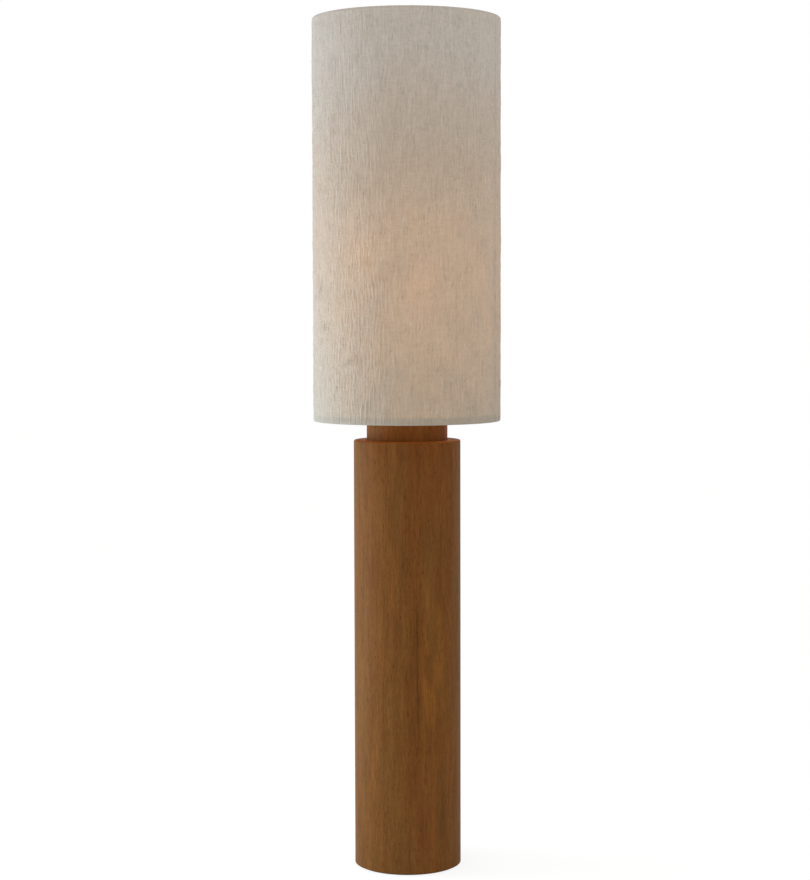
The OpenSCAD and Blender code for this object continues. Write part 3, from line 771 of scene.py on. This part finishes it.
def new_piece(name: str, points: np.ndarray, faces: Sequence[Sequence[int]]) -> bpy.types.Object:
    """Makes a mesh piece with smooth faces and puts it in the scene.

    Args:
        name: The piece's name.
        points: Its vertices, one row each.
        faces: Its faces.

    Returns:
        The piece.
    """
    mesh = bpy.data.meshes.new(name)
    mesh.from_pydata(points.tolist(), [], [tuple(face) for face in faces])
    mesh.polygons.foreach_set("use_smooth", np.ones(len(mesh.polygons), bool))
    mesh.update()
    piece = bpy.data.objects.new(name, mesh)
    bpy.context.scene.collection.objects.link(piece)
    return piece


def crisp(piece: bpy.types.Object, angle: float) -> None:
    """Marks the edges of a piece that turn by more than an angle as sharp.

    Args:
        piece: The piece.
        angle: The angle, in degrees.
    """
    work = bmesh.new()
    work.from_mesh(piece.data)
    for edge in work.edges:
        if len(edge.link_faces) == 2 and edge.calc_face_angle() > math.radians(angle):
            edge.smooth = False
    work.to_mesh(piece.data)
    work.free()


def turned(section: Section, angles: np.ndarray) -> np.ndarray:
    """Turns a section about the stem.

    Args:
        section: The points, as distance from the axis and height.
        angles: The angles from the front at which the section stands.

    Returns:
        The vertices, one ring for each point of the section.
    """
    r, z = np.array(section).T
    x = np.outer(r, np.sin(angles))
    y = np.outer(r, -np.cos(angles))
    return np.stack([x, y, np.repeat(z[:, None], len(angles), 1)], 2).reshape(-1, 3)


def cut_away(piece: bpy.types.Object, tool: bpy.types.Object) -> None:
    """Cuts one mesh out of another.

    Args:
        piece: The piece that is cut.
        tool: The mesh that cuts it, which is removed.
    """
    cutter = piece.modifiers.new("hole", "BOOLEAN")
    cutter.operation = "DIFFERENCE"
    cutter.solver = "EXACT"
    cutter.object = tool
    graph = bpy.context.evaluated_depsgraph_get()
    cut = bpy.data.meshes.new_from_object(piece.evaluated_get(graph))
    piece.modifiers.clear()
    piece.data = cut
    bpy.data.objects.remove(tool)


def cylinder_y(
    name: str, middle: Point, radius: float, length: float, sides: int = 48
) -> bpy.types.Object:
    """Makes a closed cylinder along Y, to cut a hole with.

    Args:
        name: Its name.
        middle: Its middle.
        radius: Its radius.
        length: Its length.
        sides: How many flat sides stand for its round.

    Returns:
        The cylinder.
    """
    a = np.linspace(0, FULL_TURN, sides, endpoint=False)
    ring = np.stack([radius * np.cos(a), np.zeros(sides), radius * np.sin(a)], 1)
    ends = [np.array(middle) + ring + (0, side * length / 2, 0) for side in (-1, 1)]
    walls = [(sides + k, sides + (k + 1) % sides, (k + 1) % sides, k) for k in range(sides)]
    caps = [tuple(range(sides)), tuple(range(sides, 2 * sides))[::-1]]
    return new_piece(name, np.concatenate(ends), walls + caps)


# ---------------------------------------------------------------- the lamp


@dataclass
class SubAssembly:
    """Some pieces of the lamp: build() makes the modelled ones and dress() gives all a finish."""

    paint: Paintbox
    nodes: tuple[str, ...] = ()
    pieces: list[bpy.types.Object] = field(default_factory=list)

    def build(self) -> None:
        """Makes the pieces that are modelled here: none, unless a sub-assembly has its own."""

    def dress(self) -> None:
        """Gives each CAD node that still shows the finish of its slot in the record."""
        slots = {part["node"]: part["material_slot"] for part in frame["record"]["subparts"]}
        for node in self.nodes:
            if not frame["nodes"][node].hide_render:
                self.paint.dress_node(node, slots[node])

    def keep(self, piece: bpy.types.Object, body: str, stock: Stock, *stands_for: str) -> None:
        """Takes a new piece in.

        Args:
            piece: The piece.
            body: The CAD body that it moves with.
            stock: Its finish.
            *stands_for: The CAD nodes that it replaces.
        """
        self.paint.dress_piece(piece, stock)
        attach(piece, body)
        if stands_for:
            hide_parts(*stands_for)
        self.pieces.append(piece)


@dataclass
class Column(SubAssembly):
    """The veneered tube on its felt, with the boards and the iron inside it."""

    nodes: tuple[str, ...] = (
        "column_tube", "column_top", "column_base", "ballast", "ballast_screws", "base_felt",
        "cord_bushing", "terminal_block", "terminal_screws", "riser_lead", "lead_clips",
    )
    wall: float = 12 * MM
    rounding: float = 3 * MM
    rounding_steps: int = 8
    lid: float = 0.25 * MM
    foot_bevel: float = 0.8 * MM
    seam_half: float = 0.35 * MM
    seam_depth: float = 0.20 * MM
    columns: int = 384
    bushing_r: float = 6 * MM
    hole_gap: float = 0.1 * MM
    sharp_from: float = 30.0

    def build(self) -> None:
        """Makes the tube with a veneered lid over the top board's edge and an upright seam behind."""
        low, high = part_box("column_tube")
        neck_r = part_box("neck")[1].x
        outer, top, bore = high.x, high.z, high.x - self.wall
        lid_top = top + self.lid
        corner = (outer - self.rounding, lid_top - self.rounding)
        section = [(bore, low.z), (outer - self.foot_bevel, low.z), (outer, low.z + self.foot_bevel)]
        section += arc(corner, self.rounding, 0, 90, self.rounding_steps)
        section += [(neck_r + self.lid, lid_top), (neck_r + self.lid, top), (bore, top)]
        angles = self._angles(outer)
        points = turned(section, angles).reshape(len(section), len(angles), 3)
        points[1:-2, 0, :2] *= 1 - self.seam_depth / outer
        faces = grid_faces(len(angles), len(section))
        piece = new_piece("column_casing", points.reshape(-1, 3), faces)
        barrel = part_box("cord_bushing")
        middle = (0, outer - self.wall / 2, (barrel[0].z + barrel[1].z) / 2)
        hole_r = self.bushing_r + self.hole_gap
        cut_away(piece, cylinder_y("inlet_cutter", middle, hole_r, 2 * self.wall))
        crisp(piece, self.sharp_from)
        self.keep(piece, "stand", Stock.WALNUT, "column_tube")

    def _angles(self, outer: float) -> np.ndarray:
        """Spaces the tube's upright lines, with one close to each side of the seam.

        Args:
            outer: The tube's radius.

        Returns:
            Their angles. The first line is the bottom of the seam's groove.
        """
        even = np.linspace(-math.pi, math.pi, self.columns, endpoint=False)[1:]
        half = self.seam_half / outer
        return np.concatenate([[-math.pi, -math.pi + half], even, [math.pi - half]])


@dataclass
class Stem(SubAssembly):
    """The neck, and the pipe, plate and sleeve that carry the cluster."""

    nodes: tuple[str, ...] = (
        "neck", "stem_pipe", "stem_washer", "stem_nut", "neck_plate", "stem_sleeve",
        "upper_rod", "seat_collar",
    )


@dataclass
class Cluster(SubAssembly):
    """The two-light cluster with its arms and joints."""

    nodes: tuple[str, ...] = (
        "cluster_body", "cluster_cover", "cover_screws", "cluster_nut", "wire_nuts", "splice_wires",
        "socket_arm_1", "socket_arm_2", "socket_lead_1", "socket_lead_2", "socket_contacts",
    )


@dataclass
class Lampholder(SubAssembly):
    """One lampholder with its pull switch and its bulb."""

    number: int = 1
    lamp_power: float = 1.2
    lamp_gap: float = 1.5 * MM

    def __post_init__(self) -> None:
        """Names the nodes of this lampholder."""
        kinds = (
            "socket_cap", "socket_shell", "socket_liner", "socket_core", "screw_shell",
            "chain_guide", "pull_chain", "pull_knob", "bulb_glass", "bulb_cap",
        )
        self.nodes = tuple(f"{kind}_{self.number}" for kind in kinds)

    def build(self) -> None:
        """Makes the bulb's light, which shines from just outside its glass."""
        low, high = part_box(f"bulb_glass_{self.number}")
        radius = (high.x - low.x) / 2
        light = bpy.data.lights.new(f"bulb_light_{self.number}", "POINT")
        light.energy = self.lamp_power
        light.color = WARM
        light.shadow_soft_size = radius + self.lamp_gap
        lamp = bpy.data.objects.new(light.name, light)
        lamp.location = ((low.x + high.x) / 2, (low.y + high.y) / 2, high.z - radius)
        lamp.visible_camera = False
        bpy.context.scene.collection.objects.link(lamp)


@dataclass
class Shade(SubAssembly):
    """The drum shade: a stiff liner on two wire rings, a spider, and the linen cover."""

    nodes: tuple[str, ...] = (
        "shade_fabric", "shade_liner", "top_ring", "bottom_ring", "top_hem", "bottom_hem",
        "spider_hub", "spider_arms", "finial",
    )
    cloth: float = 1.0 * MM
    edge_round: float = 2.6 * MM
    hem_gap: float = 0.1 * MM
    edge_steps: int = 3
    outer_steps: int = 9
    inner_steps: int = 7
    # The outside's upright lines, how many of them one line of the rest stands for, and its rows
    columns: int = 624
    coarse: int = 3
    rows: int = 138
    pucker_pitch: float = 13 * MM
    pucker_length: float = 60 * MM
    pucker_depth: float = 0.44 * MM
    wrinkle_pitch: float = 7.2 * MM
    wrinkle_length: float = 15 * MM
    wrinkle_depth: float = 0.64 * MM
    # How far both wander sideways, and the height and the width of one bend
    wander: float = 1.7 * MM
    wander_length: float = 15 * MM
    wander_width: float = 60 * MM
    # The crinkles come and go in patches of this height and width, by this share
    patch_size: tuple[float, float] = (70 * MM, 40 * MM)
    patch_share: float = 0.15
    # Next to the edges the crinkles have this share of their depth, and all of it this far in
    edge_share: float = 0.35
    edge_fade: float = 12 * MM
    seam_step: float = 0.45 * MM
    seed: int = 20
    map_margin: float = 0.002
    pool_power: float = 1.0
    pool_radius: float = 0.130
    pool_colour: Colour = (1.0, 0.60, 0.30)
    pool_lift: float = 0.150

    def build(self) -> None:
        """Makes the linen cover, rolled over both wire rings, and the light that falls out below."""
        low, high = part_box("shade_fabric")
        self._cover(low.z, high.z, high.x)
        light = bpy.data.lights.new("shade_pool", "AREA")
        light.shape = "DISK"
        light.size = 2 * self.pool_radius
        light.energy = self.pool_power
        light.color = self.pool_colour
        pool = bpy.data.objects.new("shade_pool", light)
        pool.location = (0, 0, low.z + self.pool_lift)
        pool.visible_camera = False
        pool.visible_glossy = False
        bpy.context.scene.collection.objects.link(pool)

    def _cover(self, foot: float, top: float, radius: float) -> None:
        """Makes the cover as one closed sheet.

        The outside has fine upright lines. What is turned in, and the back of the cloth, has
        coarse ones.

        Args:
            foot: The height of its lower edge.
            top: The height of its upper edge.
            radius: Its radius.
        """
        ring_low, ring_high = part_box("top_ring")
        wire = (ring_high.z - ring_low.z) / 2
        ring_r = ring_high.x - wire
        liner_in = ring_high.x + self.hem_gap
        inner_wrap = wire + self.hem_gap
        outer_wrap = inner_wrap + self.cloth
        end = 360 - math.degrees(math.acos((liner_in - ring_r) / outer_wrap))
        edge = arc((radius - self.edge_round, -self.edge_round), self.edge_round, 0, 90, self.edge_steps)
        turned_in = arc((ring_r, -outer_wrap), outer_wrap, 90, end, self.outer_steps)
        turned_in += arc((ring_r, -outer_wrap), inner_wrap, end, 90, self.inner_steps)
        turned_in += [(radius - self.cloth, -self.cloth)]
        wall = np.linspace(foot + self.edge_round, top - self.edge_round, self.rows)
        outside = [(r, foot - z) for r, z in edge[:0:-1]]
        outside += [(radius, z) for z in wall]
        outside += [(r, top + z) for r, z in edge[1:]]
        inside = [(r, top + z) for r, z in turned_in]
        inside += [(r, foot - z) for r, z in reversed(turned_in)]

        fine = np.linspace(-math.pi, math.pi, self.columns, endpoint=False)
        skin = turned(outside, fine).reshape(len(outside), self.columns, 3)
        skin[..., :2] *= 1 + (self._proud(fine, wall, len(edge) - 1, radius) / radius)[..., None]
        points = np.concatenate([skin.reshape(-1, 3), turned(inside, fine[:: self.coarse])])
        faces = self._cover_faces(len(outside), len(inside))
        piece = new_piece("shade_cover", points, faces)
        self._unwrap(piece, outside + inside, len(outside))
        self.keep(piece, "shade", Stock.LINEN, "shade_fabric", "top_hem", "bottom_hem")
        turn_in = math.radians(end - 90) * outer_wrap + self.edge_round
        flat = (FULL_TURN * radius + Linen.seam_lap, top - foot + 2 * turn_in)
        log.info("shade_cover is cut to %.3f by %.3f m", *flat)

    def _cover_faces(self, outside: int, inside: int) -> list[tuple[int, ...]]:
        """The faces of the cover.

        Args:
            outside: The number of fine rows, foot to top.
            inside: The number of coarse rows, top to foot.

        Returns:
            The faces: quads within each part, and one face of six corners where a coarse step of the
            inside meets the fine ones of the outside.
        """
        coarse = self.columns // self.coarse
        first = outside * self.columns
        faces = grid_faces(self.columns, outside, closed=False)
        faces += grid_faces(coarse, inside, first, closed=False)
        top, last = (outside - 1) * self.columns, first + (inside - 1) * coarse
        for k in range(coarse):
            after = (k + 1) % coarse
            steps = [(k * self.coarse + n) % self.columns for n in range(self.coarse + 1)]
            faces.append((*(top + n for n in steps), first + after, first + k))
            faces.append((last + k, last + after, *reversed(steps)))
        return faces

    def _proud(self, angles: np.ndarray, wall: np.ndarray, edge: int, radius: float) -> np.ndarray:
        """How far the outside stands proud of the plain drum.

        Args:
            angles: The angles of its upright lines.
            wall: The heights of the rows between the rounded edges.
            edge: The number of rows in a rounded edge.
            radius: The drum's radius.

        Returns:
            The distances, one row for each row of the outside.
        """
        from_edge = np.minimum(wall - wall[0], wall[-1] - wall)[:, None]
        strength = self.edge_share + (1 - self.edge_share) * np.minimum(from_edge / self.edge_fade, 1)
        out = self._crinkle(wall, radius) * strength
        back = (Linen.seam_angle - angles) * radius / Linen.seam_lap
        out += np.where((back > 0) & (back < 1), self.seam_step * (1 - back), 0)
        fade = np.linspace(1, 0, edge + 1)[1:, None]
        return np.concatenate([out[0] * fade[::-1], out, out[-1] * fade])

    def _crinkle(self, wall: np.ndarray, radius: float) -> np.ndarray:
        """Rounded puckers with sharp valleys between them, and finer wrinkles over them.

        Args:
            wall: The heights of the rows.
            radius: The drum's radius.

        Returns:
            The heights over the plain drum, one row for each row of the wall.
        """
        rng = np.random.default_rng(self.seed)
        shape = (len(wall), self.columns)
        spacing = (wall[1] - wall[0], FULL_TURN * radius / self.columns)
        puckers = band_noise(rng, shape, spacing, self.pucker_pitch, self.pucker_length)
        wrinkles = band_noise(rng, shape, spacing, self.wrinkle_pitch, self.wrinkle_length)
        sway = cloud_noise(rng, shape, spacing, (self.wander_length, self.wander_width))
        patches = cloud_noise(rng, shape, spacing, self.patch_size)
        height = self.pucker_depth * np.abs(puckers) + self.wrinkle_depth * np.tanh(wrinkles)
        height *= 1 + self.patch_share * np.tanh(patches)
        column = np.arange(self.columns) + sway * self.wander / spacing[1]
        left = np.floor(column).astype(int)
        part = column - left
        row = np.arange(shape[0])[:, None]
        moved = height[row, left % self.columns] * (1 - part)
        moved += height[row, (left + 1) % self.columns] * part
        return moved - moved.mean()

    def _unwrap(self, piece: bpy.types.Object, section: Section, fine_rows: int) -> None:
        """Gives the cover a map in which the angle runs across and the section runs up.

        Args:
            piece: The cover.
            section: The points of its section.
            fine_rows: How many of them, from the first, have the fine upright lines.
        """
        loop = np.array(section + section[:1])
        run = np.concatenate([[0], np.cumsum(np.hypot(*np.diff(loop, axis=0).T))])
        run /= run[-1]
        mesh = piece.data
        vertex = np.empty(len(mesh.loops), np.int32)
        mesh.loops.foreach_get("vertex_index", vertex)
        sizes = np.empty(len(mesh.polygons), np.int32)
        mesh.polygons.foreach_get("loop_total", sizes)
        face = np.repeat(np.arange(len(sizes)), sizes)
        at = np.empty(len(mesh.vertices) * 3)
        mesh.vertices.foreach_get("co", at)
        at = at.reshape(-1, 3)[vertex]
        across = np.arctan2(at[:, 0], -at[:, 1]) / FULL_TURN + 0.5
        fine = vertex < fine_rows * self.columns
        coarse_row = (vertex - fine_rows * self.columns) // (self.columns // self.coarse)
        row = np.where(fine, vertex // self.columns, fine_rows + coarse_row)
        starts = np.cumsum(sizes) - sizes
        widest = np.maximum.reduceat(across, starts)[face]
        across = np.where((across < 0.25) & (widest > 0.75), across + 1, across)
        highest = np.maximum.reduceat(row, starts)[face]
        up = np.where((row == 0) & (highest == len(section) - 1), 1.0, run[row])
        corners = np.stack([across, up], 1)
        layer = mesh.uv_layers.new(name="OFBake")
        corners = self.map_margin + (1 - 2 * self.map_margin) * corners
        layer.data.foreach_set("uv", corners.ravel().astype(np.float32))


# ---------------------------------------------------------------- studio and camera


@dataclass(frozen=True)
class SoftLight:
    """A soft light: its angle round the lamp from the front, its range, height, size, power and colour."""

    angle: float
    away: float
    height: float
    size: tuple[float, float]
    power: float
    colour: Colour = (1.0, 1.0, 1.0)


class Softbox(Enum):
    """The studio's soft lights: the key at the left, a low one there, and a weak rim behind at the right."""

    KEY = SoftLight(math.radians(-102), 1.28, 0.60, (0.7, 1.3), 13.3, (0.78, 1.0, 1.22))
    LOW = SoftLight(math.radians(-80), 0.95, 0.45, (0.4, 0.7), 4.6, (0.78, 1.0, 1.22))
    RIM = SoftLight(math.radians(120), 3.0, 1.0, (1.0, 2.4), 1.5)


@dataclass
class Studio:
    """The pale floor, the white surroundings and the soft lights."""

    fill: float = 1.10
    fill_colour: Colour = (1.0, 1.0, 0.995)
    floor_half: float = 40.0
    floor_drop: float = 0.2 * MM
    floor_colour: Colour = (0.80, 0.80, 0.79)
    floor_white: float = 0.80

    def build(self) -> None:
        """Makes the world, the floor and the soft lights."""
        self._world()
        self._floor()
        for box in Softbox:
            self._softbox(box.name.lower(), box.value)

    @staticmethod
    def _seen_straight(s: Shader) -> Wire:
        """Tells rays that see the surroundings from those that light the lamp.

        Args:
            s: The nodes of the world or of the floor's material.

        Returns:
            1 for rays from the camera, a reflection or a clear piece, and 0 for other light.
        """
        rays = s.node("ShaderNodeLightPath", out="Is Camera Ray")
        others = rays.socket.node.outputs
        shiny = Wire(s, others["Is Glossy Ray"])
        clear = Wire(s, others["Is Transmission Ray"])
        return s.math("MAXIMUM", rays, s.math("MAXIMUM", shiny, clear))

    def _world(self) -> None:
        """Makes the world: white to look at, and a plain fill for the object."""
        s = Shader(bpy.data.worlds.new("studio"))
        fill = tuple(self.fill * part for part in self.fill_colour)
        colour = s.mix(self._seen_straight(s), fill, (1.0, 1.0, 1.0))
        bpy.context.scene.world = s.finish(s.node("ShaderNodeBackground", None, {"Color": colour}))

    def _floor(self) -> None:
        """Makes the floor, white to look at but for the lamp's faint shadow."""
        s = Shader.material("studio_floor")
        matt = s.node("ShaderNodeBsdfDiffuse", None, {"Color": self.floor_colour})
        bright = (1 - (1 - self.floor_white) * self.fill * self.floor_colour[2]) / self.floor_white
        white = s.node("ShaderNodeEmission", None, {"Color": (1.0, 1.0, 1.0), "Strength": bright})
        share = self._seen_straight(s) * self.floor_white
        s.finish(s.node("ShaderNodeMixShader", None, {0: share, 1: matt, 2: white}))
        half = self.floor_half
        corners = np.array([(-half, -half, 0), (half, -half, 0), (half, half, 0), (-half, half, 0)])
        floor = new_piece("floor", corners - (0, 0, self.floor_drop), [(0, 1, 2, 3)])
        floor.data.materials.append(s.owner)

    @staticmethod
    def _softbox(name: str, place: SoftLight) -> None:
        """Makes an upright soft light that faces the lamp's axis.

        Args:
            name: Its name.
            place: Where it stands and how it shines.
        """
        light = bpy.data.lights.new(name, "AREA")
        light.shape = "RECTANGLE"
        light.size, light.size_y = place.size
        light.energy = place.power
        light.color = place.colour
        box = bpy.data.objects.new(name, light)
        away = place.away
        box.location = (away * math.sin(place.angle), -away * math.cos(place.angle), place.height)
        box.rotation_euler = Euler((math.pi / 2, 0, place.angle))
        box.visible_camera = False
        bpy.context.scene.collection.objects.link(box)


@dataclass
class PhotoCamera:
    """The camera, fitted to the lamp's outlines in the photograph."""

    focal_px: float = 2085.0
    long_side_px: float = 880.0
    film: float = 36.0
    location: Point = (-0.0040, -3.942, 1.0576)
    down: float = math.radians(3.59)
    roll: float = math.radians(-0.13)
    reach: float = 100.0

    def build(self) -> None:
        """Makes the camera and gives it to the scene."""
        data = bpy.data.cameras.new("photo_camera")
        data.sensor_width = self.film
        data.lens = self.focal_px * self.film / self.long_side_px
        data.clip_end = self.reach
        camera = bpy.data.objects.new("photo_camera", data)
        camera.location = self.location
        turn = Euler((math.pi / 2 - self.down, 0, 0)).to_matrix() @ Euler((0, 0, self.roll)).to_matrix()
        camera.rotation_euler = turn.to_euler()
        bpy.context.scene.collection.objects.link(camera)
        bpy.context.scene.camera = camera


def main() -> None:
    """Builds the camera, the studio and the lamp in order and reports each piece."""
    bpy.context.scene.view_settings.view_transform = "Standard"
    PhotoCamera().build()
    Studio().build()
    paint = Paintbox()
    lamp = [
        Column(paint), Stem(paint), Cluster(paint),
        Lampholder(paint, number=1), Lampholder(paint, number=2), Shade(paint),
    ]
    for part in lamp:
        part.build()
        part.dress()
        made = [piece.name for piece in part.pieces] or "none"
        log.info("%s: %d nodes, modelled here: %s", type(part).__name__, len(part.nodes), made)


if __name__ == "__main__":
    main()
